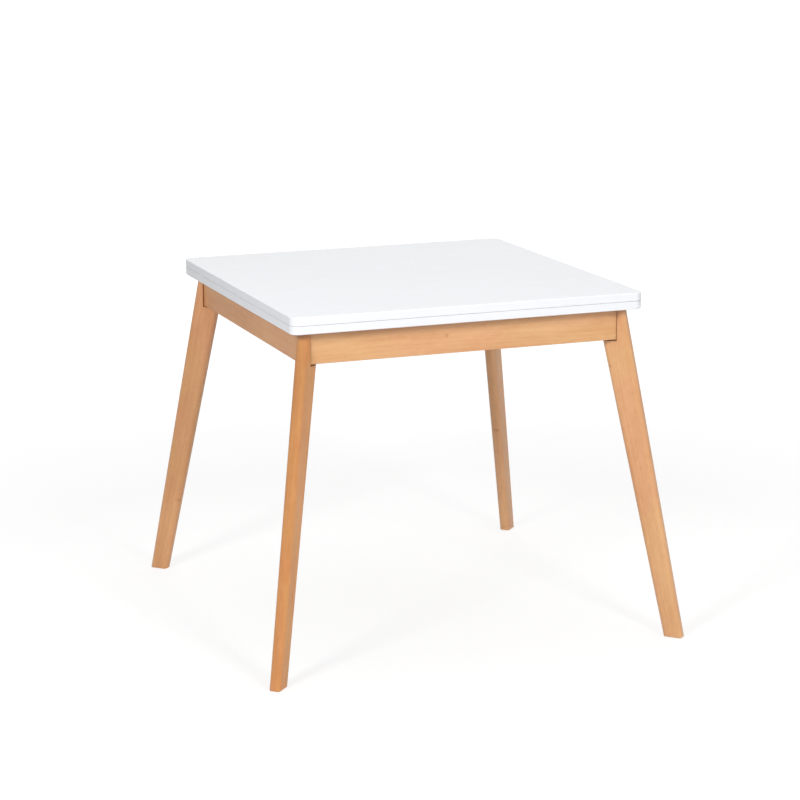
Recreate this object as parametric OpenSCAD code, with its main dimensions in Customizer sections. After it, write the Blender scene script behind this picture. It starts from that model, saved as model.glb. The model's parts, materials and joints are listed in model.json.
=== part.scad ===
// Square folding dining table. Two equal top leaves lie one on the other. The pair
// swivels a quarter turn on the frame, and then the upper leaf folds over beside
// the lower one, which doubles the top.
//
// Origin: floor level, under the centre of the frame. +Z is up, +Y is the rear edge
// where the leaves are hinged while the table is closed.

/* [Table] */
// Height of the closed table's top surface above the floor
table_h = 768; // [720:1:790]

/* [Top leaves] */
// Length of each side of a square leaf
leaf_size = 800; // [740:10:900]
// Thickness of one leaf
leaf_t = 18; // [16:0.5:24]
// Radius of the leaf's corners seen from above
leaf_corner_r = 20; // [10:1:40]
// Rounding of the leaf's outer arrises
leaf_ease = 2.5; // [1:0.25:4]
// Rounding of the arrises that meet at the fold when the table is open
fold_ease = 1; // [0.5:0.25:2]
// Space between the leaves, closed or open
leaf_gap = 0.6; // [0.4:0.1:1.2]
// Overhang of the top beyond the aprons
overhang = 32; // [26:1:60]

/* [Aprons] */
// Height of an apron
apron_h = 68; // [62:1:90]
// Thickness of an apron
apron_t = 20; // [18:1:26]
// Rounding of an apron's lower outer arris
apron_ease = 1.5; // [0.5:0.25:3]

/* [Legs] */
// Thickness of the plank that a leg is cut from
leg_t = 27; // [25:1:32]
// Depth of a leg along the diagonal, at the top of the frame
leg_head_d = 65; // [58:1:72]
// Depth of a leg along the diagonal, at the foot
leg_foot_d = 44; // [36:1:52]
// How far a leg stands out of the frame's corner, at the top of the frame
leg_proud = 3; // [1:1:12]
// How far out a leg's outer edge runs from the frame's top to the foot
leg_splay = 150; // [100:1:170]
// Rounding of the two outer arrises of a leg
leg_outer_r = 11; // [6:0.5:12]
// Rounding of the two inner arrises of a leg
leg_inner_r = 11; // [3:0.5:12]
// Depth of the rebate that takes the end of an apron
leg_rebate = 4; // [2:0.5:5]
// Distance from an apron's lower edge down to the shelf of the rebate
shelf_drop = 4; // [1:0.5:8]
// Blunting of the rebate's lip, which leaves a narrow groove beside the apron
lip_ease = 2.5; // [0.5:0.25:3]
// Blunting of the edges round a leg's foot
foot_ease = 1.5; // [1:0.5:4]

/* [Corner blocks] */
// Height of a corner block
block_h = 52; // [46:1:56]
// Distance from the frame's top down to a corner block
block_drop = 8; // [6:1:12]
// Depth of a corner block along the diagonal
block_d = 42; // [36:1:48]
// Height between the two leg bolts of a corner
bolt_pitch = 26; // [20:1:30]
// Diameter of the leg bolts
bolt_d = 6; // [5:0.5:8]
// Diameter of a leg bolt's flat head
bolt_head_d = 15; // [13:0.5:18]
// Height of a leg bolt's flat head
bolt_head_h = 2.2; // [1.5:0.1:3]
// Diameter of the threaded insert in a leg
insert_d = 10; // [8.5:0.5:11]
// Length of the threaded insert
insert_l = 18; // [13:1:20]

/* [Swivel] */
// Side of the two square swivel plates
plate_size = 100; // [90:2:110]
// Thickness of a swivel plate
plate_t = 3; // [2.5:0.5:4]
// Thickness of the slip washer between the plates
slip_t = 1; // [0.8:0.1:1.5]
// Diameter of the slip washer
slip_d = 44; // [36:1:46]
// Diameter of the pivot bolt
pivot_d = 10; // [8:1:12]
// Radius on which the stop stud travels
stop_r = 34; // [32:0.5:36]
// Diameter of the stop stud
stop_d = 8; // [6:0.5:9]
// Thickness of the rail that carries the swivel
rail_t = 24; // [20:1:30]
// Width of the rail that carries the swivel
rail_w = 112; // [110:2:120]
// Side of the square cleats under the rail's ends
cleat_s = 22; // [18:1:24]

/* [Fold hinges] */
// Distance between neighbouring fold hinges
hinge_spacing = 270; // [200:5:290]
// Width of a hinge, along its pin
hinge_w = 42; // [36:1:60]
// Length of a hinge wing, from the pin
wing_l = 36; // [32:1:44]
// Thickness of a hinge wing
wing_t = 2.4; // [2:0.1:2.8]
// Radius of the corners at the far end of a wing
wing_corner_r = 7; // [3:0.5:10]
// Width of the middle knuckle, which belongs to the upper wing
mid_knuckle_w = 15; // [10:0.5:20]
// Diameter of the hinge pins
hinge_pin_d = 2.6; // [2:0.1:2.8]

/* [Glides and bumpers] */
// Height of the glides above the aprons
glide_proud = 1.8; // [1:0.2:3]
// Diameter of an apron glide
glide_d = 12; // [10:1:14]
// Distance of the apron glides from the middle of their apron
glide_offset = 190; // [150:5:240]
// Height of a foot glide below its foot
foot_glide_h = 1; // [0.5:0.5:3]
// Diameter of a foot glide
foot_glide_d = 14; // [12:1:16]
// Distance of the leaf bumpers from the leaf's edges
bumper_inset = 30; // [20:1:60]

/* [Hidden] */

$fn = 64;
// A cutter runs past the surface that it cuts by this much
past = 1;
// Clearance of pieces that are put together by hand
fit = 0.15;
// Radial clearance of a shaft that turns in its hole
running = 0.05;
// Space kept between a sliding or turning face and its neighbour
slide_gap = 0.2;
// Thickness of a film of glue
glue = 0.02;

BEECH = "#d9a871";
LACQUER = "#f7f8fa";
STEEL = "#b9bcc0";
BRASS = "#c9a75a";
NYLON = "#e6e3da";

// Heights
upper_leaf_z = table_h - leaf_t;
lower_leaf_top = upper_leaf_z - leaf_gap;
lower_leaf_z = lower_leaf_top - leaf_t;
frame_top = lower_leaf_z - glide_proud - slide_gap;
apron_z = frame_top - apron_h;
shelf_z = apron_z - shelf_drop;
leg_z = foot_glide_h;

// Plan of the frame
apron_out = leaf_size / 2 - overhang;
apron_in = apron_out - apron_t;
// A leg's head between two rebates is this far from the diagonal on each side
head_half = leg_t / 2 - leg_rebate;
// The diagonal distance of the frame's outer and inner corners from the centre
corner_out = apron_out * sqrt(2);
corner_in = apron_in * sqrt(2);

// A leg's outline in its own diagonal plane: distance from the centre at a height
leg_out_head = corner_out + leg_proud;
function leg_share(z) = (frame_top - z) / frame_top;
function leg_out(z) = leg_out_head + leg_splay * leg_share(z);
function leg_depth(z) = leg_head_d + (leg_foot_d - leg_head_d) * leg_share(z);
function leg_in(z) = leg_out(z) - leg_depth(z);
// Above the shelf the inner edge of the head is upright
head_in = leg_in(shelf_z);
// The bars that round a leg's edges run past both of its ends by this much
bar_spare = 100;
outer_lean = atan(leg_splay / frame_top);
inner_lean = atan((leg_splay + leg_head_d - leg_foot_d) / frame_top);

// Corner blocks
block_in = head_in - block_d;
block_top = frame_top - block_drop;
block_mid = block_top - block_h / 2;
bolt_zs = [block_mid - bolt_pitch / 2, block_mid + bolt_pitch / 2];
// A leg bolt ends level with the far end of its insert
leg_bolt_l = block_d + insert_l;
bolt_hole_play = 0.5;
bolt_key_af = 4;
bolt_key_depth = bolt_head_h + 1;

// Wood screws: [shank diameter, head diameter, head height]
frame_screw = [4, 8, 2.4];
plate_screw = [4, 7.6, 2.2];
wing_screw = [3, 5.6, 1.6];
plate_screw_l = 14;
base_screw_l = 20;
wing_screw_l = 13;
screw_hole_gap = 0.1;
screw_head_play = 1;
block_screw_bite = 13;
block_screw_seat = 19;
block_screw_pitch = 28;
block_screw_zs = [block_mid - block_screw_pitch / 2, block_mid + block_screw_pitch / 2];
// The middle of the face that a block has on an apron
block_screw_at = (head_in + block_in - corner_in) / sqrt(2);

// Swivel: the pivot lies a quarter of the open top from the centre on both axes, so
// that a quarter turn carries the fold line to the middle of the frame
fold_plane = leaf_size / 2 + leaf_gap / 2;
pivot_xy = fold_plane / 2;
swivel_angle = 90;
top_plate_z = lower_leaf_z - plate_t;
slip_z = top_plate_z - slip_t;
base_plate_z = slip_z - plate_t;
rail_top = base_plate_z;
rail_z = rail_top - rail_t;
plate_hole_inset = 10;
plate_hole = plate_size / 2 - plate_hole_inset;
plate_corner_r = 8;
bolt_dome_d = 22;
bolt_dome_h = 4;
pivot_washer_d = 30;
pivot_washer_t = 2.5;
pivot_nut_af = 17;
pivot_nut_h = 10;
pivot_collar_d = 15;
pivot_collar_h = 3;
pivot_bolt_tail = 2;
pivot_bolt_end = rail_z - pivot_washer_t - pivot_nut_h - pivot_bolt_tail;
rail_bore_play = 1;
cleat_z = rail_z - cleat_s;
rail_screw_in = apron_in - cleat_s / 2;
rail_screw_inset = 18;
rail_screw_side = rail_w / 2 - rail_screw_inset;
// Wood left ahead of the points of the rail screws and of the cleat screws
rail_screw_spare = 6;
cleat_screw_spare = 7;
rail_screw_l = rail_t + cleat_s - rail_screw_spare;
cleat_screw_inset = 30;
cleat_screw_side = rail_w / 2 - cleat_screw_inset;
cleat_screw_drop = 2;
cleat_screw_l = cleat_s + apron_t - cleat_screw_spare;

// Fold hinges: the pin lies in the middle of the gap that the open leaves leave
fold_z = lower_leaf_top + leaf_gap / 2;
knuckle_r = leaf_gap / 2 + wing_t;
pin_fit = 0.03;
// The outline of a wing, from the edge of its knuckles to its far end
wing_near = fold_plane - knuckle_r - slide_gap;
wing_far = fold_plane - wing_l;
side_knuckle_w = (hinge_w - mid_knuckle_w) / 2 - slide_gap;
// Screws of a wing: two near the knuckles and one near the far end
wing_screw_inset = 8;
wing_screw_near = wing_near - wing_screw_inset;
wing_screw_far = wing_far + wing_screw_inset;
wing_screw_side = hinge_w / 2 - wing_screw_inset;
wing_screw_places = [
  [-wing_screw_side, wing_screw_near], [wing_screw_side, wing_screw_near], [0, wing_screw_far]
];

// Glides and bumpers
glide_sunk = 2.2;
foot_glide_sunk = 5;
foot_mid = leg_out(leg_z) - leg_depth(leg_z) / 2;
bumper_d = 9;
bumper_sunk = 2;
bumper_h = leaf_gap - slide_gap / 2;

// Places that repeat
module quarter_turns() {
  for (turn = [0:3]) {
    rotate([0, 0, 90 * turn]) children();
  }
}

module at_hinges() {
  for (i = [-1:1]) {
    translate([i * hinge_spacing, 0, 0]) children();
  }
}

module at_glides() {
  for (side = [-1, 1]) {
    translate([side * glide_offset, apron_out - apron_t / 2, frame_top]) children();
  }
}

module at_bumpers() {
  reach = leaf_size / 2 - bumper_inset;
  for (x = [-reach, reach], y = [-reach, reach]) {
    translate([x, y, lower_leaf_top]) children();
  }
}

module at_plate_holes() {
  for (x = [-plate_hole, plate_hole], y = [-plate_hole, plate_hole]) {
    translate([pivot_xy + x, pivot_xy + y, 0]) children();
  }
}

module at_wing_screws() {
  for (place = wing_screw_places) {
    translate(place) children();
  }
}

// The two screws on each side of one corner block, pointing out along +Z
module at_block_screws() {
  for (flip = [0, 1]) {
    mirror([flip, -flip, 0]) {
      for (z = block_screw_zs) {
        translate([block_screw_at, apron_in - block_screw_seat, z]) rotate([-90, 0, 0]) children();
      }
    }
  }
}

module at_rail_screws() {
  for (x = [-rail_screw_side, rail_screw_side], y = [-rail_screw_in, rail_screw_in]) {
    translate([pivot_xy + x, y, rail_top]) children();
  }
}

// The screws through one cleat, pointing out along +Y
module at_cleat_screws() {
  for (x = [-cleat_screw_side, cleat_screw_side]) {
    translate([pivot_xy + x, apron_in - cleat_s, cleat_z + cleat_s / 2 - cleat_screw_drop]) {
      rotate([-90, 0, 0]) children();
    }
  }
}

// Shapes that repeat

// A screw with a countersunk head whose flat face is at z = 0 and whose shank runs
// towards +Z
module countersunk_screw(size, length) {
  difference() {
    union() {
      cylinder(d1 = size[1], d2 = size[0], h = size[2]);
      cylinder(d = size[0], h = length);
    }
    cross_recess(size);
  }
}

// A screw with a low round head that sits below z = 0
module pan_screw(size, length) {
  difference() {
    union() {
      translate([0, 0, -size[2]]) cylinder(d = size[1], h = size[2]);
      translate([0, 0, -size[2]]) cylinder(d = size[0], h = length + size[2]);
    }
    translate([0, 0, -size[2]]) cross_recess(size);
  }
}

module cross_recess(size) {
  arm = size[1] * 0.55;
  slot = size[1] * 0.13;
  for (turn = [0, 90]) {
    rotate([0, 0, turn]) {
      translate([-arm / 2, -slot / 2, -past]) cube([arm, slot, past + size[2] * 0.55]);
    }
  }
}

// The hole for a countersunk screw that starts at z = 0 and runs towards +Z
module countersunk_hole(size, length) {
  gap = screw_hole_gap;
  cylinder(d1 = size[1] + 2 * gap, d2 = size[0] + 2 * gap, h = size[2]);
  cylinder(d = size[0] + 2 * gap, h = length + 2 * gap);
  translate([0, 0, -past]) cylinder(d = size[1] + 2 * gap, h = past);
}

module shank_hole(size, from, to) {
  translate([0, 0, from]) cylinder(d = size[0] + 2 * screw_hole_gap, h = to - from);
}

// A square seen from above with round corners
module round_square(size, r) {
  union() {
    square([size, size - 2 * r], center = true);
    square([size - 2 * r, size], center = true);
    for (x = [-1, 1], y = [-1, 1]) {
      translate([x * (size / 2 - r), y * (size / 2 - r)]) circle(r = r);
    }
  }
}

// What is taken off a corner to round it by r: the corner is at the origin and the
// body lies towards -X and -Y
module arris_section(r) {
  difference() {
    translate([-r, -r]) square([r + past, r + past]);
    translate([-r, -r]) circle(r = r);
  }
}

// Rounds the upper arris of a round-cornered square plate whose top is at z = 0
module round_top_arris(size, corner, r) {
  quarter_turns() {
    translate([corner - size / 2, size / 2, 0]) rotate([90, 0, 90]) {
      linear_extrude(size - 2 * corner) arris_section(r);
    }
    translate([size / 2 - corner, size / 2 - corner, 0]) {
      rotate_extrude(angle = 90, $fn = 96) translate([corner, 0]) arris_section(r);
    }
  }
}

// One leaf lying between z = 0 and its thickness, its outer arrises rounded at the
// bottom, at the top, or both
module leaf_blank(round_top, round_bottom) {
  difference() {
    linear_extrude(leaf_t) round_square(leaf_size, leaf_corner_r, $fn = 96);
    if (round_top) {
      translate([0, 0, leaf_t]) round_top_arris(leaf_size, leaf_corner_r, leaf_ease);
    }
    if (round_bottom) {
      mirror([0, 0, 1]) round_top_arris(leaf_size, leaf_corner_r, leaf_ease);
    }
  }
}

// The long round at the fold edge of a leaf, taken off an arris at y = z = 0
module fold_round() {
  translate([-leaf_size / 2 - past, 0, 0]) rotate([90, 0, 90]) {
    linear_extrude(leaf_size + 2 * past) arris_section(fold_ease);
  }
}

// The outline of a hinge wing seen from above, grown by a clearance
module wing_outline(grow) {
  half = hinge_w / 2 + grow;
  r = wing_corner_r + grow;
  translate([-half, wing_far + wing_corner_r]) square([2 * half, wing_near - wing_far - wing_corner_r]);
  translate([r - half, wing_far - grow]) square([2 * (half - r), wing_near - wing_far]);
  for (side = [-1, 1]) {
    translate([side * (half - r), wing_far + wing_corner_r]) circle(r = r);
  }
}

// The mortise for a wing of the lower leaf, with a round groove for the knuckles
module wing_mortise() {
  translate([0, 0, lower_leaf_top - wing_t]) linear_extrude(wing_t + past) {
    wing_outline(fit);
    translate([-hinge_w / 2 - fit, wing_near - past]) square([hinge_w + 2 * fit, leaf_size / 4]);
  }
  translate([-hinge_w / 2 - fit, fold_plane, fold_z]) rotate([0, 90, 0]) {
    cylinder(r = knuckle_r + slide_gap, h = hinge_w + 2 * fit);
  }
}

module upright_from_lower_leaf() {
  translate([0, 0, 2 * fold_z]) mirror([0, 0, 1]) children();
}

// All that is cut from a leaf for its three wings, on the lower leaf's side
module fold_cuts() {
  translate([0, leaf_size / 2, lower_leaf_top]) fold_round();
  at_hinges() {
    wing_mortise();
    at_wing_screws() translate([0, 0, lower_leaf_top - wing_t]) mirror([0, 0, 1]) {
      shank_hole(wing_screw, -past, wing_screw_l - wing_t + fit);
    }
  }
}

// Top

module upper_leaf() {
  color(LACQUER) difference() {
    translate([0, 0, upper_leaf_z]) leaf_blank(true, false);
    upright_from_lower_leaf() fold_cuts();
  }
}

module lower_leaf() {
  color(LACQUER) difference() {
    translate([0, 0, lower_leaf_z]) leaf_blank(false, true);
    fold_cuts();
    at_bumpers() translate([0, 0, -bumper_sunk]) cylinder(d = bumper_d + 2 * fit, h = bumper_sunk + past);
    translate([pivot_xy, pivot_xy, lower_leaf_z - past]) {
      cylinder(d = bolt_dome_d + 4 * fit, h = bolt_dome_h + past + 2 * fit);
    }
    at_plate_holes() {
      translate([0, 0, lower_leaf_z]) shank_hole(plate_screw, -past, plate_screw_l - plate_t + fit);
    }
  }
}

// Frame

// An apron lies along the rear of the frame, its ends mitred to the diagonals
module apron_blank() {
  end_out = apron_out - head_half * sqrt(2);
  end_in = apron_in - head_half * sqrt(2);
  difference() {
    translate([0, 0, apron_z]) linear_extrude(apron_h) {
      polygon([[-end_out, apron_out], [end_out, apron_out], [end_in, apron_in], [-end_in, apron_in]]);
    }
    translate([-apron_out, apron_out, apron_z]) mirror([0, 0, 1]) rotate([90, 0, 90]) {
      linear_extrude(2 * apron_out) arris_section(apron_ease);
    }
    at_glides() translate([0, 0, -glide_sunk]) cylinder(d = glide_d + 2 * fit, h = glide_sunk + past);
    for (flip = [0, 1]) {
      mirror([flip, 0, 0]) {
        for (z = block_screw_zs) {
          translate([block_screw_at, apron_in, z]) rotate([-90, 0, 0]) {
            shank_hole(frame_screw, -past, block_screw_bite + fit);
          }
        }
      }
    }
  }
}

// The holes for a cleat's screws in the rear apron
module cleat_screw_holes() {
  at_cleat_screws() shank_hole(frame_screw, cleat_s - past, cleat_screw_l + fit);
}

module rear_apron() {
  color(BEECH) difference() {
    apron_blank();
    cleat_screw_holes();
  }
}

module front_apron() {
  color(BEECH) difference() {
    rotate([0, 0, 180]) apron_blank();
    mirror([0, 1, 0]) cleat_screw_holes();
  }
}

module left_apron() {
  color(BEECH) rotate([0, 0, 90]) apron_blank();
}

module right_apron() {
  color(BEECH) rotate([0, 0, -90]) apron_blank();
}

// The section of a leg across its thickness, with the outer edge at x = 0
module leg_section(depth, r) {
  half = leg_t / 2;
  translate([-depth, -half]) square([depth - r, leg_t]);
  translate([-r - past, r - half]) square([r + past, leg_t - 2 * r]);
  for (side = [-1, 1]) {
    translate([-r, side * (half - r)]) circle(r = r);
  }
}

// A bar that leans out from the frame's top to the floor, its rounded edge at x = 0
// at the frame's top
module leaning_bar(lean, depth, r) {
  run = frame_top / cos(lean) + 2 * bar_spare;
  translate([0, 0, frame_top]) rotate([0, 180 - lean, 0]) translate([0, 0, -bar_spare]) {
    mirror([1, 0, 0]) linear_extrude(run) leg_section(depth, r);
  }
}

// The end of an apron stands in this rebate on the leg's side towards +Y
module apron_rebate() {
  seat = corner_out + fit * sqrt(2);
  lip = leg_t / 2 - lip_ease;
  translate([0, 0, shelf_z]) linear_extrude(apron_h + shelf_drop + past) {
    polygon([
      [head_in - past, head_half], [seat - head_half, head_half],
      [seat - lip, lip], [seat - lip, leg_t], [head_in - past, leg_t]
    ]);
  }
}

// What is taken off the foot's edges on the leg's side towards +Y
module foot_blunting() {
  side = foot_ease * sqrt(2);
  translate([0, leg_t / 2, leg_z]) rotate([45, 0, 0]) {
    cube([2 * leg_out(leg_z), side, side], center = true);
  }
}

// A leg along the diagonal that is turned to +X
module leg_blank() {
  difference() {
    intersection() {
      translate([0, leg_t, 0]) rotate([90, 0, 0]) linear_extrude(2 * leg_t) {
        polygon([
          [leg_in(leg_z + foot_ease), leg_z + foot_ease], [leg_in(leg_z) + foot_ease, leg_z],
          [leg_out(leg_z) - foot_ease, leg_z], [leg_out(leg_z + foot_ease), leg_z + foot_ease],
          [leg_out_head, frame_top], [head_in, frame_top], [head_in, shelf_z]
        ]);
      }
      translate([leg_out_head, 0, 0]) leaning_bar(outer_lean, 3 * leg_head_d, leg_outer_r);
      translate([leg_in(frame_top), 0, 0]) inner_rounding();
    }
    for (side = [0, 1]) {
      mirror([0, side, 0]) {
        apron_rebate();
        foot_blunting();
      }
    }
    for (z = bolt_zs) {
      translate([head_in - past, 0, z]) rotate([0, 90, 0]) {
        cylinder(d = insert_d + 2 * screw_hole_gap, h = insert_l + past + fit);
      }
    }
    translate([foot_mid, 0, leg_z - past]) {
      cylinder(d = foot_glide_d + 2 * fit, h = foot_glide_sunk + past);
    }
  }
}

// The bar that rounds a leg's inner arrises, its rounded edge facing the centre
module inner_rounding() {
  run = frame_top / cos(inner_lean) + 2 * bar_spare;
  translate([0, 0, frame_top]) rotate([0, 180 - inner_lean, 0]) translate([0, 0, -bar_spare]) {
    linear_extrude(run) leg_section(3 * leg_head_d, leg_inner_r);
  }
}

module rear_right_leg() {
  color(BEECH) rotate([0, 0, 45]) leg_blank();
}

module rear_left_leg() {
  color(BEECH) rotate([0, 0, 135]) leg_blank();
}

module front_left_leg() {
  color(BEECH) rotate([0, 0, 225]) leg_blank();
}

module front_right_leg() {
  color(BEECH) rotate([0, 0, 315]) leg_blank();
}

// The block behind the leg of the rear right corner
module corner_block() {
  difference() {
    rotate([0, 0, 45]) translate([0, 0, block_top - block_h]) linear_extrude(block_h) {
      side = corner_in - glue * sqrt(2);
      polygon([
        [head_in, head_in - side], [head_in, side - head_in],
        [block_in, side - block_in], [block_in, block_in - side]
      ]);
    }
    rotate([0, 0, 45]) {
      for (z = bolt_zs) {
        translate([block_in - past, 0, z]) rotate([0, 90, 0]) {
          cylinder(d = bolt_d + bolt_hole_play, h = block_d + 2 * past);
        }
      }
    }
    at_block_screws() {
      shank_hole(frame_screw, -past, block_screw_seat + past);
      translate([0, 0, -block_d]) cylinder(d = frame_screw[1] + screw_head_play, h = block_d);
    }
  }
}

module rear_right_corner_block() {
  color(BEECH) corner_block();
}

module rear_left_corner_block() {
  color(BEECH) rotate([0, 0, 90]) corner_block();
}

module front_left_corner_block() {
  color(BEECH) rotate([0, 0, 180]) corner_block();
}

module front_right_corner_block() {
  color(BEECH) rotate([0, 0, 270]) corner_block();
}

module corner_block_screws() {
  color(STEEL) quarter_turns() at_block_screws() {
    pan_screw(frame_screw, block_screw_seat + block_screw_bite);
  }
}

// A leg bolt lies along +X, its flat head on the block's inner face
module leg_bolt() {
  rotate([0, 90, 0]) difference() {
    union() {
      translate([0, 0, -bolt_head_h]) cylinder(d = bolt_head_d, h = bolt_head_h);
      cylinder(d = bolt_d, h = leg_bolt_l);
    }
    translate([0, 0, -bolt_head_h - past]) {
      cylinder(d = bolt_key_af / cos(30), h = past + bolt_key_depth, $fn = 6);
    }
  }
}

module leg_bolts() {
  color(STEEL) quarter_turns() rotate([0, 0, 45]) {
    for (z = bolt_zs) {
      translate([block_in, 0, z]) leg_bolt();
    }
  }
}

module leg_inserts() {
  color(BRASS) quarter_turns() rotate([0, 0, 45]) {
    for (z = bolt_zs) {
      translate([head_in, 0, z]) rotate([0, 90, 0]) difference() {
        cylinder(d = insert_d, h = insert_l);
        translate([0, 0, -past]) cylinder(d = bolt_d + 2 * screw_hole_gap, h = insert_l + 2 * past);
      }
    }
  }
}

// Swivel

module swivel_rail() {
  color(BEECH) difference() {
    translate([pivot_xy - rail_w / 2, -apron_in, rail_z]) cube([rail_w, 2 * apron_in, rail_t]);
    translate([pivot_xy, pivot_xy, rail_z - past]) {
      cylinder(d = pivot_d + rail_bore_play, h = rail_t + 2 * past);
    }
    at_plate_holes() translate([0, 0, rail_top]) mirror([0, 0, 1]) {
      shank_hole(plate_screw, -past, base_screw_l - plate_t + fit);
    }
    at_rail_screws() mirror([0, 0, 1]) {
      countersunk_hole(frame_screw, rail_t + past);
    }
  }
}

module rail_cleat() {
  difference() {
    translate([pivot_xy - rail_w / 2, apron_in - cleat_s, cleat_z]) cube([rail_w, cleat_s, cleat_s]);
    at_rail_screws() mirror([0, 0, 1]) shank_hole(frame_screw, rail_t - past, rail_screw_l + fit);
    at_cleat_screws() countersunk_hole(frame_screw, cleat_s + past);
  }
}

module rear_rail_cleat() {
  color(BEECH) rail_cleat();
}

module front_rail_cleat() {
  color(BEECH) mirror([0, 1, 0]) rail_cleat();
}

module rail_screws() {
  color(STEEL) at_rail_screws() mirror([0, 0, 1]) countersunk_screw(frame_screw, rail_screw_l);
}

module cleat_screws() {
  color(STEEL) for (side = [0, 1]) {
    mirror([0, side, 0]) at_cleat_screws() countersunk_screw(frame_screw, cleat_screw_l);
  }
}

// A flat plate with four countersunk holes, its countersunk face up at z = plate_t
module plate_blank() {
  difference() {
    translate([pivot_xy, pivot_xy, 0]) linear_extrude(plate_t) round_square(plate_size, plate_corner_r);
    at_plate_holes() translate([0, 0, plate_t]) mirror([0, 0, 1]) {
      countersunk_hole(plate_screw, plate_t + past);
    }
  }
}

// The stop stud runs in this slot, from one end to the other in a full swivel
module stop_slot() {
  slot_r = stop_d / 2 + slide_gap;
  rotate([0, 0, 180]) rotate_extrude(angle = swivel_angle, $fn = 96) {
    translate([stop_r - slot_r, -past]) square([2 * slot_r, plate_t + 2 * past]);
  }
  for (angle = [180, 180 + swivel_angle]) {
    rotate([0, 0, angle]) translate([stop_r, 0, -past]) cylinder(r = slot_r, h = plate_t + 2 * past);
  }
}

module swivel_base_plate() {
  color(STEEL) translate([0, 0, base_plate_z]) difference() {
    plate_blank();
    translate([pivot_xy, pivot_xy, 0]) {
      stop_slot();
      translate([0, 0, -past]) cylinder(r = pivot_d / 2 + running, h = plate_t + 2 * past);
    }
  }
}

module base_plate_screws() {
  color(STEEL) at_plate_holes() translate([0, 0, base_plate_z + plate_t]) mirror([0, 0, 1]) {
    countersunk_screw(plate_screw, base_screw_l);
  }
}

module swivel_slip_washer() {
  color(NYLON) translate([pivot_xy, pivot_xy, slip_z]) difference() {
    cylinder(d = slip_d, h = slip_t);
    translate([0, 0, -past]) cylinder(r = pivot_d / 2 + slide_gap, h = slip_t + 2 * past);
  }
}

module swivel_top_plate() {
  color(STEEL) translate([0, 0, top_plate_z]) difference() {
    translate([0, 0, plate_t]) mirror([0, 0, 1]) plate_blank();
    translate([pivot_xy, pivot_xy, -past]) {
      cylinder(d = pivot_d + 2 * fit, h = plate_t + 2 * past);
      translate([-stop_r, 0, 0]) cylinder(d = stop_d + 2 * screw_hole_gap, h = plate_t + 2 * past);
    }
  }
}

module top_plate_screws() {
  color(STEEL) at_plate_holes() translate([0, 0, top_plate_z]) {
    countersunk_screw(plate_screw, plate_screw_l);
  }
}

module swivel_stop_stud() {
  color(STEEL) translate([pivot_xy - stop_r, pivot_xy, base_plate_z + slide_gap]) {
    cylinder(d = stop_d, h = lower_leaf_z - base_plate_z - slide_gap);
  }
}

module pivot_bolt() {
  color(STEEL) translate([pivot_xy, pivot_xy, 0]) {
    translate([0, 0, lower_leaf_z]) cylinder(d = bolt_dome_d, h = bolt_dome_h);
    translate([0, 0, pivot_bolt_end]) cylinder(d = pivot_d, h = lower_leaf_z - pivot_bolt_end + past);
  }
}

module pivot_washer() {
  color(STEEL) translate([pivot_xy, pivot_xy, rail_z - pivot_washer_t]) difference() {
    cylinder(d = pivot_washer_d, h = pivot_washer_t);
    translate([0, 0, -past]) cylinder(d = pivot_d + 2 * fit, h = pivot_washer_t + 2 * past);
  }
}

module pivot_lock_nut() {
  nut_z = rail_z - pivot_washer_t - pivot_nut_h;
  color(STEEL) translate([pivot_xy, pivot_xy, nut_z]) difference() {
    union() {
      translate([0, 0, pivot_collar_h]) {
        cylinder(d = pivot_nut_af / cos(30), h = pivot_nut_h - pivot_collar_h, $fn = 6);
      }
      cylinder(d = pivot_collar_d, h = pivot_collar_h);
    }
    translate([0, 0, -past]) cylinder(d = pivot_d + 2 * screw_hole_gap, h = pivot_nut_h + 2 * past);
  }
}

// Fold hinges

// A tongue that joins a wing to a knuckle which is centred on the pin
module knuckle(width, bore_r) {
  translate([-width / 2, fold_plane, fold_z]) rotate([90, 0, 90]) linear_extrude(width) {
    difference() {
      union() {
        circle(r = knuckle_r);
        translate([-2 * knuckle_r, -knuckle_r]) square([2 * knuckle_r, wing_t]);
      }
      circle(r = bore_r);
    }
  }
}

module wing_plate() {
  translate([0, 0, lower_leaf_top - wing_t]) linear_extrude(wing_t) wing_outline(0);
}

module wing_screw_holes() {
  at_wing_screws() translate([0, 0, lower_leaf_top]) mirror([0, 0, 1]) {
    countersunk_hole(wing_screw, wing_t + past);
  }
}

// A lower wing has the two outer knuckles, which hold the pin fast
module lower_wing() {
  difference() {
    union() {
      wing_plate();
      for (side = [-1, 1]) {
        translate([side * (hinge_w - side_knuckle_w) / 2, 0, 0]) {
          knuckle(side_knuckle_w, hinge_pin_d / 2 + pin_fit);
        }
      }
    }
    wing_screw_holes();
  }
}

// An upper wing, drawn in the lower leaf, has the middle knuckle, which turns on the pin
module upper_wing() {
  difference() {
    union() {
      wing_plate();
      knuckle(mid_knuckle_w, hinge_pin_d / 2 + running);
    }
    wing_screw_holes();
  }
}

module lower_hinge_wings() {
  color(STEEL) at_hinges() lower_wing();
}

module upper_hinge_wings() {
  color(STEEL) upright_from_lower_leaf() at_hinges() upper_wing();
}

module hinge_pins() {
  color(STEEL) at_hinges() translate([-hinge_w / 2, fold_plane, fold_z]) rotate([0, 90, 0]) {
    cylinder(d = hinge_pin_d, h = hinge_w);
  }
}

module wing_screws() {
  at_hinges() at_wing_screws() translate([0, 0, lower_leaf_top]) mirror([0, 0, 1]) {
    countersunk_screw(wing_screw, wing_screw_l);
  }
}

module lower_wing_screws() {
  color(STEEL) wing_screws();
}

module upper_wing_screws() {
  color(STEEL) upright_from_lower_leaf() wing_screws();
}

// Glides and bumpers

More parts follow.
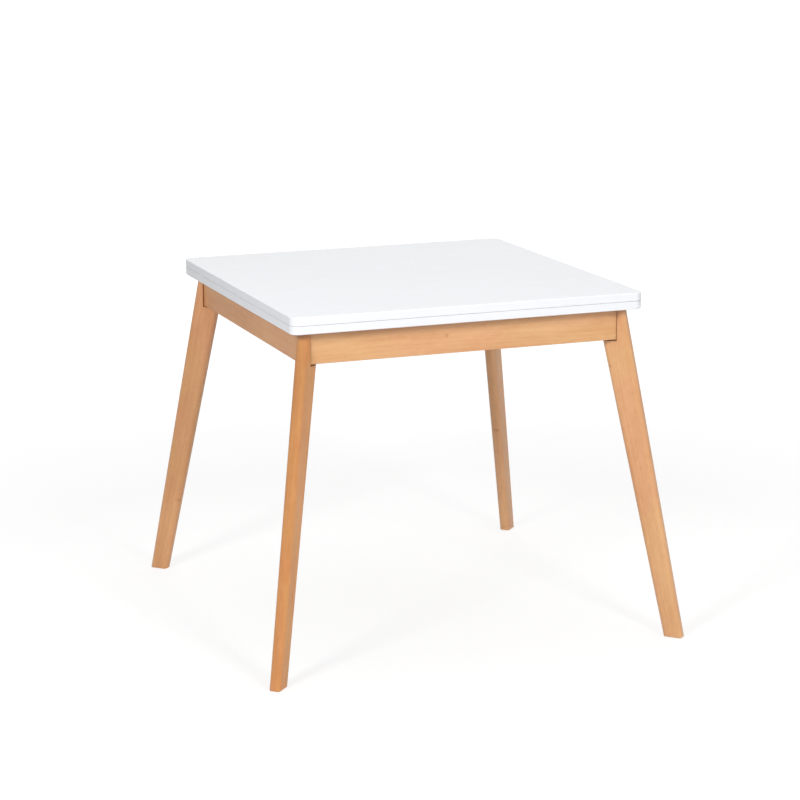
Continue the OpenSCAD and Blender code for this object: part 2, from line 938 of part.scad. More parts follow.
module apron_glides() {
  color(NYLON) quarter_turns() at_glides() {
    translate([0, 0, -glide_sunk]) cylinder(d = glide_d, h = glide_sunk + glide_proud);
  }
}

module foot_glides() {
  color(NYLON) quarter_turns() rotate([0, 0, 45]) {
    translate([foot_mid, 0, 0]) cylinder(d = foot_glide_d, h = foot_glide_h + foot_glide_sunk);
  }
}

module leaf_bumpers() {
  color(NYLON) at_bumpers() translate([0, 0, -bumper_sunk]) {
    cylinder(d = bumper_d, h = bumper_sunk + bumper_h);
  }
}

upper_leaf();
lower_leaf();
front_apron();
rear_apron();
left_apron();
right_apron();
front_left_leg();
front_right_leg();
rear_left_leg();
rear_right_leg();
front_left_corner_block();
front_right_corner_block();
rear_left_corner_block();
rear_right_corner_block();
corner_block_screws();
leg_bolts();
leg_inserts();
swivel_rail();
front_rail_cleat();
rear_rail_cleat();
rail_screws();
cleat_screws();
swivel_base_plate();
base_plate_screws();
swivel_slip_washer();
swivel_top_plate();
top_plate_screws();
swivel_stop_stud();
pivot_bolt();
pivot_washer();
pivot_lock_nut();
lower_hinge_wings();
upper_hinge_wings();
hinge_pins();
lower_wing_screws();
upper_wing_screws();
apron_glides();
foot_glides();
leaf_bumpers();
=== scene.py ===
# %% [markdown]
# # A folding dining table
# The real table is a beech frame under two white lacquered leaves. The leaves lie one on
# the other, swivel a quarter turn and unfold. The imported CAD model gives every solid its
# place, in metres, so this lesson adds what CAD lacks: wood grain, lacquer, metal, small
# hardware detail, light and a camera.

import json
import math

import bmesh
import bpy
from mathutils import Matrix, Vector


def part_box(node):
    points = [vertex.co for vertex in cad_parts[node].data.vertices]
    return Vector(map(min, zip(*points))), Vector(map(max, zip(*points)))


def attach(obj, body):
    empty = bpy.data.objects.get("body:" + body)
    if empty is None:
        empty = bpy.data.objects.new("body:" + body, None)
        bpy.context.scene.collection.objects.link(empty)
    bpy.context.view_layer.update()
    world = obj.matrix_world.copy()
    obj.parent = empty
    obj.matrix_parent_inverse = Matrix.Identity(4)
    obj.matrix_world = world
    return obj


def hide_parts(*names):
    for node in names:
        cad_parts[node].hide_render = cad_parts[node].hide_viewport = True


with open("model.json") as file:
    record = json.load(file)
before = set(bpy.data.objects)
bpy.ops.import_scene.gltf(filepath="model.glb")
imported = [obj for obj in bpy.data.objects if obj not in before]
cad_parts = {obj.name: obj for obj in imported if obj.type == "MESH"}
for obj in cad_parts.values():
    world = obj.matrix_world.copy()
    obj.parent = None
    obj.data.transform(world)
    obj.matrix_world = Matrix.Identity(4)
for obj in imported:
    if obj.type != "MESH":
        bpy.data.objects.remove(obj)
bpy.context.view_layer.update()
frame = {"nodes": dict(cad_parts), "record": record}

# %% [markdown]
# ## The camera
# The photograph was taken from the front left, a little above the top, with a long lens
# that keeps the lines nearly parallel. Such a camera can be placed by eye or solved from
# edges of known length. It was solved here, because the square top gives good edges: yaw
# is measured from the rear (+Y) towards the right (+X), pitch downwards.

# %% Place the camera
EYE = Vector((-1.86648, -4.82721, 1.67496))
YAW = 0.36695
PITCH = 0.22737
ROLL = 0.00263
FOCAL_PX = 2330.06
FRAME_PX = 800
SENSOR_MM = 36.0
SIGHT_M = 200

forward = Vector((
    math.sin(YAW) * math.cos(PITCH), math.cos(YAW) * math.cos(PITCH), -math.sin(PITCH),
))
right = Vector((math.cos(YAW), -math.sin(YAW), 0))
up = right.cross(forward)
tilt = Matrix.Rotation(ROLL, 3, forward)
right, up = tilt @ right, tilt @ up

camera_data = bpy.data.cameras.new("studio_camera")
camera_data.sensor_fit = "HORIZONTAL"
camera_data.sensor_width = SENSOR_MM
camera_data.lens = FOCAL_PX * SENSOR_MM / FRAME_PX
camera_data.clip_end = SIGHT_M
camera = bpy.data.objects.new("studio_camera", camera_data)
bpy.context.scene.collection.objects.link(camera)
turn = Matrix((right, up, -forward)).transposed().to_4x4()
camera.matrix_world = Matrix.Translation(EYE) @ turn
bpy.context.scene.camera = camera
print("lens:", round(camera_data.lens, 2), "mm")

# %% [markdown]
# ## Small helpers for materials
# Colours are picked in a paint program as sRGB hex values, while a shader works with
# linear light, so one function turns the first into the second. Another adds a node with
# its settings and its links in one go, which keeps each material readable. The third
# starts a material, and the last one rounds its edges and gives it a relief: no made edge
# is perfectly sharp, and a bevel in the shader rounds thousands of them without one more
# face.


# %% Define the material helpers
def linear(hex_colour):
    channels = [int(hex_colour[i:i + 2], 16) / 255 for i in (1, 3, 5)]
    light = [c / 12.92 if c <= 0.04045 else ((c + 0.055) / 1.055) ** 2.4 for c in channels]
    return (*light, 1.0)


def add(tree, kind, sockets=None, **settings):
    node = tree.nodes.new(kind)
    for name, value in settings.items():
        setattr(node, name, value)
    for name, value in (sockets or {}).items():
        socket = node.inputs[name]
        if isinstance(value, bpy.types.NodeSocket):
            tree.links.new(value, socket)
        else:
            socket.default_value = value
    return node


def new_material(name):
    material = bpy.data.materials.new(name)
    material.use_nodes = True
    tree = material.node_tree
    tree.nodes.clear()
    shader = add(tree, "ShaderNodeBsdfPrincipled")
    add(tree, "ShaderNodeOutputMaterial", {"Surface": shader.outputs["BSDF"]})
    return material, tree, shader


def soften_edges(tree, shader, height, strength, depth_mm, edge_mm):
    """The shading normal turns round each edge within edge_mm, and the surface's own
    relief, depth_mm deep, lies on top of that."""
    rounded = add(tree, "ShaderNodeBevel", {"Radius": edge_mm / 1000}, samples=4)
    relief = add(tree, "ShaderNodeBump", {
        "Height": height, "Strength": strength, "Distance": depth_mm / 1000,
        "Normal": rounded.outputs["Normal"],
    })
    tree.links.new(relief.outputs["Normal"], shader.inputs["Normal"])


print("white paper is", [round(c, 3) for c in linear("#E9E9E9")[:3]])

# %% [markdown]
# ## Beech with a clear matt lacquer
# Beech is a pale, pinkish-tan wood. Its growth rings are 2 to 5 mm wide and show as soft,
# slightly darker lines; its rays show as short dark flecks; the fibres give a fine streak
# along the grain. It could be painted as a flat picture on each face, but then the end
# grain would not follow. So the wood is built as it grows: rings round a pith that lies
# outside the board, cut by the piece wherever its faces happen to be. Every piece comes
# from its own length of the trunk, so no two look alike.
#
# The pith runs along X. Patterns are counted per metre: a pattern that comes 500 times in
# a metre is 2 mm wide.

# %% Lay a piece in its tree
TRUNK_STEP_M = 1.7


def in_tree(tree, coord, turn, centre, pith, seed):
    """turn brings the piece's grain to X, pith is how far the middle of the piece lies
    from the pith across the grain, in metres, and seed moves it along the trunk."""
    place = Vector((seed * TRUNK_STEP_M, *pith)) - turn @ centre
    return add(tree, "ShaderNodeMapping", {
        "Vector": coord, "Rotation": turn.to_euler("XYZ"), "Location": place,
    }).outputs["Vector"]


def stretched(tree, piece, along, across):
    """Coordinates for a pattern that comes so often per metre along and across the grain."""
    return add(tree, "ShaderNodeVectorMath", {
        0: piece, 1: (along, across, across),
    }, operation="MULTIPLY").outputs[0]


print("a piece's own length of trunk:", TRUNK_STEP_M, "m")

# %% [markdown]
# ## Growth rings and twigs
# A ring is a step in the distance from the pith, so the distance is counted in rings and
# the part behind the point gives the place within one ring: pale early wood first, then
# darker late wood. Blender's Wave texture draws rings too; counting them here keeps the
# distance itself at hand, which is made uneven and swells round a twig before it is
# counted. A twig leaves the pith like a spoke, so its place is an angle round the pith and
# a length along it, and it shows as a small dark eye.

# %% Grow rings and twigs
RING_MM = 4.2
# Place in the ring, and how dark the wood is there
RING_TONES = ((0.0, 0.75), (0.10, 0.0), (0.55, 0.22), (0.93, 1.0), (1.0, 0.75))
WANDER_PER_M = (1.6, 7.0)
# The full range of the noise; most of it lies within a few millimetres
WANDER_M = 0.030
TWIG_SPACING_MM = 90.0
TWIG_REACH_MM = 11.0
TWIG_SWELL_M = 0.007
# A place in the tree has a random tone, and grows a twig where that is above this
TWIG_TONE = 0.60
# What one radian round the pith counts as along it
SPOKE_M = 0.06
EYE_SHARPNESS = 4.0


def rings_and_twigs(tree, piece):
    """How dark the rings are at a point, and how deep it lies in a twig's eye."""
    # The trunk is never straight, so the rings wander along the board
    wander = add(tree, "ShaderNodeTexNoise", {
        "Vector": stretched(tree, piece, *WANDER_PER_M), "Scale": 1.0, "Detail": 2.0,
        "Roughness": 0.45,
    }).outputs["Color"]
    bent = add(tree, "ShaderNodeVectorMath", {
        0: wander, 1: (0.0, WANDER_M, WANDER_M), 2: piece,
    }, operation="MULTIPLY_ADD").outputs[0]
    across = add(tree, "ShaderNodeVectorMath", {
        0: bent, 1: (0.0, 1.0, 1.0),
    }, operation="MULTIPLY").outputs[0]
    straight = add(tree, "ShaderNodeVectorMath", {0: across}, operation="LENGTH").outputs["Value"]

    axes = add(tree, "ShaderNodeSeparateXYZ", {"Vector": piece}).outputs
    angle = add(tree, "ShaderNodeMath", {
        0: axes["Z"], 1: axes["Y"],
    }, operation="ARCTAN2").outputs[0]
    round_pith = add(tree, "ShaderNodeMath", {0: angle, 1: SPOKE_M}, operation="MULTIPLY")
    spoke = add(tree, "ShaderNodeCombineXYZ", {"X": axes["X"], "Y": round_pith.outputs[0]})
    twigs = add(tree, "ShaderNodeTexVoronoi", {
        "Vector": spoke.outputs[0], "Scale": 1000 / TWIG_SPACING_MM,
    }, voronoi_dimensions="2D")
    grown = add(tree, "ShaderNodeMath", {
        0: twigs.outputs["Color"], 1: TWIG_TONE,
    }, operation="GREATER_THAN").outputs[0]
    near = add(tree, "ShaderNodeMapRange", {
        "Value": twigs.outputs["Distance"], "From Max": TWIG_REACH_MM / TWIG_SPACING_MM,
        "To Min": 1.0, "To Max": 0.0,
    }, interpolation_type="SMOOTHERSTEP").outputs["Result"]
    swell = add(tree, "ShaderNodeMath", {0: near, 1: grown}, operation="MULTIPLY").outputs[0]
    eye = add(tree, "ShaderNodeMath", {
        0: swell, 1: EYE_SHARPNESS,
    }, operation="POWER").outputs[0]

    radius = add(tree, "ShaderNodeMath", {
        0: swell, 1: TWIG_SWELL_M, 2: straight,
    }, operation="MULTIPLY_ADD").outputs[0]
    # Good and bad years come in runs about 17 mm wide
    uneven = add(tree, "ShaderNodeTexNoise", {
        "W": radius, "Scale": 60.0, "Detail": 1.0,
    }, noise_dimensions="1D").outputs["Fac"]
    counted = add(tree, "ShaderNodeMath", {
        0: radius, 1: 1000 / RING_MM, 2: uneven,
    }, operation="MULTIPLY_ADD").outputs[0]
    in_ring = add(tree, "ShaderNodeMath", {0: counted}, operation="FRACT").outputs[0]
    rings = add(tree, "ShaderNodeValToRGB", {"Fac": in_ring})
    stops = rings.color_ramp.elements
    while len(stops) < len(RING_TONES):
        stops.new(1.0)
    for stop, (place, grey) in zip(stops, RING_TONES):
        stop.position = place
        stop.color = (grey, grey, grey, 1)
    return rings.outputs["Color"], eye


print("rings:", RING_MM, "mm wide, twigs:", TWIG_SPACING_MM, "mm apart")

# %% [markdown]
# ## Fibres, streaks, waves and clouds
# Between the rings, beech is never even. Four noises of different size, all longer along
# the grain than across it, do more for the eye than one noise with much detail, because
# each can be matched to what it stands for.

# %% Draw the fibres
# Per metre along and across the grain, then detail, roughness, distortion and share
FIGURE = {
    # 110 by 2 mm. Real fibres are far finer; at 2 mm they still show in the render
    "fibre": (9.0, 520.0, 4.0, 0.6, 0.0, 0.24),
    # 450 by 18 mm
    "streak": (2.2, 55.0, 3.0, 0.55, 0.0, 0.34),
    # 33 by 12 mm: where the fibres run in waves they catch the light in soft patches
    "wave": (30.0, 85.0, 2.0, 0.5, 1.2, 0.34),
    # 170 by 56 mm
    "cloud": (6.0, 18.0, 2.0, 0.5, 0.0, 0.56),
}
RING_SHARE = 0.09


def figured(tree, piece, rings):
    """How far the wood is from its pale tone to its deep one, and the fibres alone."""
    figure = add(tree, "ShaderNodeMath", {
        0: rings, 1: RING_SHARE,
    }, operation="MULTIPLY").outputs[0]
    patterns = {}
    for name, (along, across, detail, roughness, distortion, share) in FIGURE.items():
        patterns[name] = add(tree, "ShaderNodeTexNoise", {
            "Vector": stretched(tree, piece, along, across), "Scale": 1.0, "Detail": detail,
            "Roughness": roughness, "Distortion": distortion,
        }).outputs["Fac"]
        figure = add(tree, "ShaderNodeMath", {
            0: patterns[name], 1: share, 2: figure,
        }, operation="MULTIPLY_ADD").outputs[0]
    depth = add(tree, "ShaderNodeMapRange", {
        "Value": figure, "From Min": 0.50, "From Max": 1.06, "To Min": 0.0, "To Max": 1.0,
    }).outputs["Result"]
    return depth, patterns["fibre"]


print("figure:", sorted(FIGURE))

# %% [markdown]
# ## Pinker patches and the red heart
# Beech turns a little pinker in patches. It also has a red heart, which is irregular and
# doesn't follow the rings, so a plank may be deeper in colour along one edge. A picture
# could show that edge; here it simply starts at a distance from the plank's middle.

# %% Tint the wood
BLUSH_PER_M = (5.0, 20.0)
# From the middle of the plank towards its upper or outward edge
HEART_FROM_M = 0.016
HEART_FULL_M = 0.028


def tinted(tree, piece, pith, tone, heart):
    """The tone with its pinker patches, multiplied by heart along the one edge."""
    blush = add(tree, "ShaderNodeTexNoise", {
        "Vector": stretched(tree, piece, *BLUSH_PER_M), "Scale": 1.0, "Detail": 1.0,
        "Distortion": 0.5,
    }).outputs["Color"]
    hue = add(tree, "ShaderNodeMapRange", {
        "Value": add(tree, "ShaderNodeSeparateXYZ", {"Vector": blush}).outputs["Y"],
        "From Min": 0.35, "From Max": 0.65, "To Min": 0.496, "To Max": 0.503,
    }).outputs["Result"]
    pinker = add(tree, "ShaderNodeHueSaturation", {"Color": tone, "Hue": hue})
    heart_side = add(tree, "ShaderNodeMapRange", {
        "Value": add(tree, "ShaderNodeSeparateXYZ", {"Vector": piece}).outputs["Z"],
        "From Min": pith[1] + HEART_FROM_M, "From Max": pith[1] + HEART_FULL_M,
    }).outputs["Result"]
    return add(tree, "ShaderNodeMix", {
        "Factor": heart_side, "A": pinker.outputs["Color"], "B": linear(heart),
    }, data_type="RGBA", blend_type="MULTIPLY").outputs["Result"]


print("pinker patches:", [round(1000 / count) for count in BLUSH_PER_M], "mm")

# %% [markdown]
# ## Ray flecks
# Beech is known by its rays, which show as small dark spindles along the grain. Each one
# sits in a cell of a cell texture, at a random place in it. Most are faint and a few are
# strong, so the cell's random tone is raised to a power.

# %% Scatter the ray flecks
FLECK_LONG_MM = 9.0
# Real flecks are 0.3 mm wide; they are drawn 1 mm wide, or they would not show at all
FLECK_WIDE_MM = 1.0
# A fleck's cell is so many times as long and as wide as the fleck
CELL_LONG = 2
CELL_WIDE = 4
FLECK_CONTRAST = 2.0


def ray_flecks(tree, piece):
    """1 in the middle of the strongest flecks, 0 between them."""
    cells = add(tree, "ShaderNodeTexVoronoi", {
        "Vector": stretched(
            tree, piece, 1000 / FLECK_LONG_MM / CELL_LONG, 1000 / FLECK_WIDE_MM / CELL_WIDE,
        ),
        "Scale": 1.0,
    })
    spindle = add(tree, "ShaderNodeMapRange", {
        "Value": cells.outputs["Distance"], "From Min": 0.10, "From Max": 0.24,
        "To Min": 1.0, "To Max": 0.0,
    }).outputs["Result"]
    strong = add(tree, "ShaderNodeMapRange", {
        "Value": cells.outputs["Color"], "From Min": 0.55, "From Max": 0.95,
        "To Min": 0.0, "To Max": 1.0,
    }).outputs["Result"]
    few = add(tree, "ShaderNodeMath", {
        0: strong, 1: FLECK_CONTRAST,
    }, operation="POWER").outputs[0]
    return add(tree, "ShaderNodeMath", {0: spindle, 1: few}, operation="MULTIPLY").outputs[0]


print("flecks:", FLECK_LONG_MM, "by", FLECK_WIDE_MM, "mm")

# %% [markdown]
# ## Painted shade in the nooks
# Where pieces meet, little light gets in, so the wood is painted browner there as shade.
# An ambient occlusion node finds such places on any shape, so nothing is painted by hand.
# The feet are close to the floor, but light does reach them, so they are left out.

# %% Find the nooks
NOOK_MM = 25.0
FEET_BELOW_M = 0.1
ALL_ABOVE_M = 0.3


def painted_nook_shade(tree, coord):
    """How much painted shade darkens the wood: half way in the deepest nook, none in the open."""
    open_share = add(tree, "ShaderNodeAmbientOcclusion", {"Distance": NOOK_MM / 1000}, samples=8)
    nook_shade = add(tree, "ShaderNodeMapRange", {
        "Value": open_share.outputs["AO"], "From Min": 0.45, "From Max": 0.90,
        "To Min": 0.5, "To Max": 0.0,
    }).outputs["Result"]
    raised = add(tree, "ShaderNodeMapRange", {
        "Value": add(tree, "ShaderNodeSeparateXYZ", {"Vector": coord}).outputs["Z"],
        "From Min": FEET_BELOW_M, "From Max": ALL_ABOVE_M,
    }).outputs["Result"]
    return add(tree, "ShaderNodeMath", {0: nook_shade, 1: raised}, operation="MULTIPLY").outputs[0]


print("a nook reaches", NOOK_MM, "mm")

# %% [markdown]
# ## The whole of the beech
# The layers go on in the order in which they lie: figure, tint, flecks, eyes and painted
# shade in the nooks. The lacquer is a thin matt film. It is a coat over the wood and not a
# gloss of the wood itself, because a film gives the pale sheen on faces seen at a low angle.

# %% Put the beech together
FLECK_SHARE = 0.55
EYE_SHARE = 0.42


def beech(name, turn, centre, pith, pale, deep, seed, edge_mm, heart):
    """Its edges look round to edge_mm. heart is what the red heart does to the colour of
    the outward edge; white does nothing."""
    material, tree, shader = new_material(name)
    coord = add(tree, "ShaderNodeTexCoord").outputs["Object"]
    piece = in_tree(tree, coord, turn, centre, pith, seed)
    rings, eye = rings_and_twigs(tree, piece)
    depth, fibre = figured(tree, piece, rings)
    fleck = ray_flecks(tree, piece)

    tone = add(tree, "ShaderNodeMix", {
        "Factor": depth, "A": linear(pale), "B": linear(deep),
    }, data_type="RGBA").outputs["Result"]
    tone = tinted(tree, piece, pith, tone, heart)
    fleck_share = add(tree, "ShaderNodeMath", {0: fleck, 1: FLECK_SHARE}, operation="MULTIPLY")
    eye_share = add(tree, "ShaderNodeMath", {0: eye, 1: EYE_SHARE}, operation="MULTIPLY")
    for share, colour in (
        (fleck_share.outputs[0], "#A0602F"), (eye_share.outputs[0], "#9C6238"),
        # Painted shade: the wood turns towards dark brown where the nooks are deepest
        (painted_nook_shade(tree, coord), "#704020"),
    ):
        tone = add(tree, "ShaderNodeMix", {
            "Factor": share, "A": tone, "B": linear(colour),
        }, data_type="RGBA").outputs["Result"]
    tree.links.new(tone, shader.inputs["Base Color"])

    gloss = add(tree, "ShaderNodeMapRange", {
        "Value": fibre, "From Min": 0.3, "From Max": 0.7, "To Min": 0.40, "To Max": 0.52,
    }).outputs["Result"]
    tree.links.new(gloss, shader.inputs["Roughness"])
    relief = add(tree, "ShaderNodeMath", {0: fibre, 1: fleck}, operation="SUBTRACT").outputs[0]
    soften_edges(tree, shader, relief, strength=0.35, depth_mm=0.12, edge_mm=edge_mm)
    shader.inputs["IOR"].default_value = 1.5
    shader.inputs["Coat Weight"].default_value = 0.7
    shader.inputs["Coat Roughness"].default_value = 0.22
    shader.inputs["Coat IOR"].default_value = 1.5
    return material


print("shares at most: flecks", FLECK_SHARE, "eyes", EYE_SHARE)

# %% [markdown]
# ## Which way the grain runs
# A joiner cuts every piece with the grain along its length. An apron's grain is level, a
# leg's follows its lean, and a corner block's runs across the corner. Each direction is
# given as a turn that brings that line to +X, where the wood's pattern expects it.


# %% Give each wooden piece its own beech
def turn_to_x(direction):
    return Vector(direction).to_track_quat("X", "Z").to_matrix().transposed()


# How far the middle of a leg leans out of the upright
LEG_LEAN = math.radians(12.4)
# A leg's arrises are well rounded, the other pieces' are only sanded
LEG_EDGE_MM = 2.5
SANDED_EDGE_MM = 0.9
wooden = {
    "front_apron": ((1, 0, 0), (0.055, -0.030), "#E0AF7D", "#CD915B"),
    "rear_apron": ((1, 0, 0), (-0.060, 0.040), "#DEAE80", "#CA8F5C"),
    "left_apron": ((0, 1, 0), (0.048, 0.036), "#DAA16A", "#C5834B"),
    "right_apron": ((0, 1, 0), (-0.070, 0.025), "#DEAF80", "#CB915E"),
    "swivel_rail": ((0, 1, 0), (0.030, 0.050), "#E7B98C", "#CC915E"),
    "front_rail_cleat": ((1, 0, 0), (0.020, 0.022), "#E9BC90", "#D09663"),
    "rear_rail_cleat": ((1, 0, 0), (-0.022, 0.019), "#E9BC90", "#D09663"),
}
corners = {
    "rear_right": (45, "#E1AD7E", "#CA8F5E"), "rear_left": (135, "#DEA674", "#C88A55"),
    "front_left": (225, "#DE9E5C", "#C68142"), "front_right": (315, "#E4B07D", "#CD915D"),
}
for corner, (angle, pale, deep) in corners.items():
    out = Vector((math.cos(math.radians(angle)), math.sin(math.radians(angle)), 0))
    side = Vector((-out.y, out.x, 0))
    down = out * math.sin(LEG_LEAN) - Vector((0, 0, math.cos(LEG_LEAN)))
    wooden[corner + "_leg"] = (down, (0.045, 0.020), pale, deep)
    wooden[corner + "_corner_block"] = (side, (0.025, -0.030), "#E7BB8E", "#CD9462")

for seed, (node, (grain, pith, pale, deep)) in enumerate(wooden.items()):
    low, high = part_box(node)
    wood = beech(
        "lacquered_beech_" + node, turn_to_x(grain), (low + high) / 2, pith, pale, deep, seed,
        edge_mm=LEG_EDGE_MM if node.endswith("leg") else SANDED_EDGE_MM,
        heart="#E5E2DF" if node == "front_left_leg" else "#FFFFFF",
    )
    slots = frame["nodes"][node].data.materials
    slots.clear()
    slots.append(wood)
print("wooden pieces:", len(wooden))

# %% [markdown]
# ## White satin lacquer
# The leaves are fibreboard sprayed with white polyurethane lacquer. Sprayed lacquer is
# never optically flat: it keeps a very shallow ripple a few millimetres wide, which makes
# reflections waver, and wiping leaves faint duller patches. The colour itself is even,
# with only a trace of clouding.

# %% Spray the leaves
RIPPLE_MM = 5.0
# Clouds about 330 mm wide and wiped patches about 140 mm wide
CLOUD_PER_M = 3.0
WIPE_PER_M = 7.0

white_lacquer, tree, shader = new_material("white_satin_lacquer")
coord = add(tree, "ShaderNodeTexCoord").outputs["Object"]
cloud = add(tree, "ShaderNodeTexNoise", {
    "Vector": coord, "Scale": CLOUD_PER_M, "Detail": 3.0,
}).outputs["Fac"]
white = add(tree, "ShaderNodeMix", {
    "Factor": cloud, "A": linear("#EFF1F5"), "B": linear("#EBECEF"),
}, data_type="RGBA")
tree.links.new(white.outputs["Result"], shader.inputs["Base Color"])
wiped = add(tree, "ShaderNodeTexNoise", {
    "Vector": coord, "Scale": WIPE_PER_M, "Detail": 4.0, "Roughness": 0.6, "Distortion": 0.6,
}).outputs["Fac"]
satin = add(tree, "ShaderNodeMapRange", {
    "Value": wiped, "From Min": 0.3, "From Max": 0.7, "To Min": 0.19, "To Max": 0.25,
}).outputs["Result"]
tree.links.new(satin, shader.inputs["Roughness"])
ripple = add(tree, "ShaderNodeTexNoise", {
    "Vector": coord, "Scale": 1000 / RIPPLE_MM, "Detail": 1.0,
}).outputs["Fac"]
soften_edges(tree, shader, ripple, strength=0.12, depth_mm=0.05, edge_mm=0.6)
shader.inputs["IOR"].default_value = 1.5
print("lacquer ripple:", RIPPLE_MM, "mm")

# %% [markdown]
# ## Zinc-plated steel
# Screws, bolts, plates and hinges are steel with bright zinc plating: a bluish grey metal
# with a mottled bloom, because the coating grows in patches, and fine drawing marks under
# it. The bloom changes the gloss with the colour, which a coloured pattern alone would not.

# %% Plate the steel
# Patches about 8 mm wide
BLOOM_PER_M = 130.0
# Marks 4 mm long and 0.3 mm wide, all along X
MARKS_PER_M = 260.0
MARKS_NARROWER = 12.0

zinc, tree, shader = new_material("zinc_plated_steel")
coord = add(tree, "ShaderNodeTexCoord").outputs["Object"]
bloom = add(tree, "ShaderNodeTexNoise", {
    "Vector": coord, "Scale": BLOOM_PER_M, "Detail": 3.0,
}).outputs["Fac"]
plating = add(tree, "ShaderNodeMix", {
    "Factor": bloom, "A": linear("#C9CDD2"), "B": linear("#B4B6B4"),
}, data_type="RGBA")
tree.links.new(plating.outputs["Result"], shader.inputs["Base Color"])
drawn = add(tree, "ShaderNodeMapping", {
    "Vector": coord, "Scale": (1.0, MARKS_NARROWER, MARKS_NARROWER),
})
marks = add(tree, "ShaderNodeTexNoise", {
    "Vector": drawn.outputs["Vector"], "Scale": MARKS_PER_M, "Detail": 2.0,
}).outputs["Fac"]
dullness = add(tree, "ShaderNodeMapRange", {
    "Value": bloom, "From Min": 0.3, "From Max": 0.7, "To Min": 0.26, "To Max": 0.42,
}).outputs["Result"]
tree.links.new(dullness, shader.inputs["Roughness"])
soften_edges(tree, shader, marks, strength=0.15, depth_mm=0.05, edge_mm=0.3)
shader.inputs["Metallic"].default_value = 1.0
print("zinc bloom:", round(1000 / BLOOM_PER_M, 1), "mm")

# %% [markdown]
# ## Turned brass
# The threaded inserts in the legs are turned from brass bar. They are small and sit inside
# the wood, so their turning marks are left out, and a tarnish in small patches, which
# darkens and dulls the metal a little, is all that tells them from new brass.

# %% Turn the brass
# Patches about 6 mm wide
TARNISH_PER_M = 180.0

brass, tree, shader = new_material("turned_brass")
coord = add(tree, "ShaderNodeTexCoord").outputs["Object"]
tarnish = add(tree, "ShaderNodeTexNoise", {
    "Vector": coord, "Scale": TARNISH_PER_M, "Detail": 3.0,
}).outputs["Fac"]
yellow = add(tree, "ShaderNodeMix", {
    "Factor": tarnish, "A": linear("#E2C279"), "B": linear("#C9A35A"),
}, data_type="RGBA")
tree.links.new(yellow.outputs["Result"], shader.inputs["Base Color"])
dullness = add(tree, "ShaderNodeMapRange", {
    "Value": tarnish, "From Min": 0.3, "From Max": 0.7, "To Min": 0.22, "To Max": 0.36,
}).outputs["Result"]
tree.links.new(dullness, shader.inputs["Roughness"])
shader.inputs["Metallic"].default_value = 1.0
print("brass tarnish:", round(1000 / TARNISH_PER_M, 1), "mm")

# %% [markdown]
# ## Moulded nylon
# Glides, bumpers and the swivel's slip washer are nylon, a warm white plastic with a soft
# gloss and the fine grit of the mould. A perfectly smooth gloss would look too hard, so
# the grit is in the relief and, very weakly, in the colour.

# %% Mould the nylon
# The grit of a mould is finer than 0.1 mm; it is drawn 1.1 mm wide, or no view would show it
GRIT_PER_M = 900.0

nylon, tree, shader = new_material("moulded_nylon")
coord = add(tree, "ShaderNodeTexCoord").outputs["Object"]
grit = add(tree, "ShaderNodeTexNoise", {
    "Vector": coord, "Scale": GRIT_PER_M, "Detail": 2.0,
}).outputs["Fac"]
milk = add(tree, "ShaderNodeMix", {
    "Factor": grit, "A": linear("#EDEAE1"), "B": linear("#E2DED2"),
}, data_type="RGBA")
tree.links.new(milk.outputs["Result"], shader.inputs["Base Color"])
soften_edges(tree, shader, grit, strength=0.2, depth_mm=0.05, edge_mm=0.4)
shader.inputs["Roughness"].default_value = 0.5
shader.inputs["IOR"].default_value = 1.53
print("nylon grit:", round(1000 / GRIT_PER_M, 1), "mm")

# %% [markdown]
# ## Hand out the finishes
# The CAD record names a material slot for every node. Reading it there keeps the finishes
# right when a node is added, which a list of names in this script would not.

# %% Hand out the finishes
finishes = {"white_lacquer": white_lacquer, "zinc_steel": zinc, "brass": brass, "nylon": nylon}
for part in frame["record"]["subparts"]:
    if part["material_slot"] in finishes:
        slots = frame["nodes"][part["node"]].data.materials
        slots.clear()
        slots.append(finishes[part["material_slot"]])
print("finishes:", sorted(finishes))

# %% [markdown]
# ## Turned hardware
# The bolts, the lock nut and the glides come from a lathe or a heading press, so each has
# one outline round an axis, and rims that are rolled or moulded round. The CAD solids keep
# those rims sharp, and a bevel in the shader can't change an outline against the light, so
# these small pieces are modelled again over the CAD sizes. A ready cylinder could be inset
# and extruded for every step of the outline; spinning a few points round the axis gives
# all the steps at once, and a bevel then rounds the rims that are named.

# %% Spin an outline and round its rims
ROUND_SEGMENTS = 48
RIM_SEGMENTS = 4
SAME_POINT_M = 1e-6
ON_RIM_MM = 0.01


def spun(outline, rims=()):
    """outline is (radius, height) in mm, from the axis back to the axis, or round to its
    first point; one that starts off the axis leaves a hole there. rims are (radius,
    height, rounding) of the rings that aren't left sharp."""
    mesh = bmesh.new()
    points = [mesh.verts.new((radius / 1000, 0, height / 1000)) for radius, height in outline]
    lines = [mesh.edges.new(ends) for ends in zip(points, points[1:])]
    bmesh.ops.spin(
        mesh, geom=points + lines, cent=(0, 0, 0), axis=(0, 0, 1), angle=math.tau,
        steps=ROUND_SEGMENTS, use_merge=True,
    )
    bmesh.ops.remove_doubles(mesh, verts=mesh.verts, dist=SAME_POINT_M)
    for radius, height, rounding in rims:
        ring = [edge for edge in mesh.edges if all(
            abs(point.co.xy.length * 1000 - radius) < ON_RIM_MM
            and abs(point.co.z * 1000 - height) < ON_RIM_MM
            for point in edge.verts
        )]
        bmesh.ops.bevel(
            mesh, geom=ring, offset=rounding / 1000, offset_type="OFFSET",
            segments=RIM_SEGMENTS, profile=0.5, affect="EDGES", material=-1,
        )
    bmesh.ops.recalc_face_normals(mesh, faces=mesh.faces)
    return mesh


print("a turned piece has", ROUND_SEGMENTS, "sides")

# %% [markdown]
# ## Setting pieces in place
# Eight equal bolts could be eight objects. One object that holds a copy at each spot rides
# on its body in one go and stands for the one CAD node, which holds all eight as well.

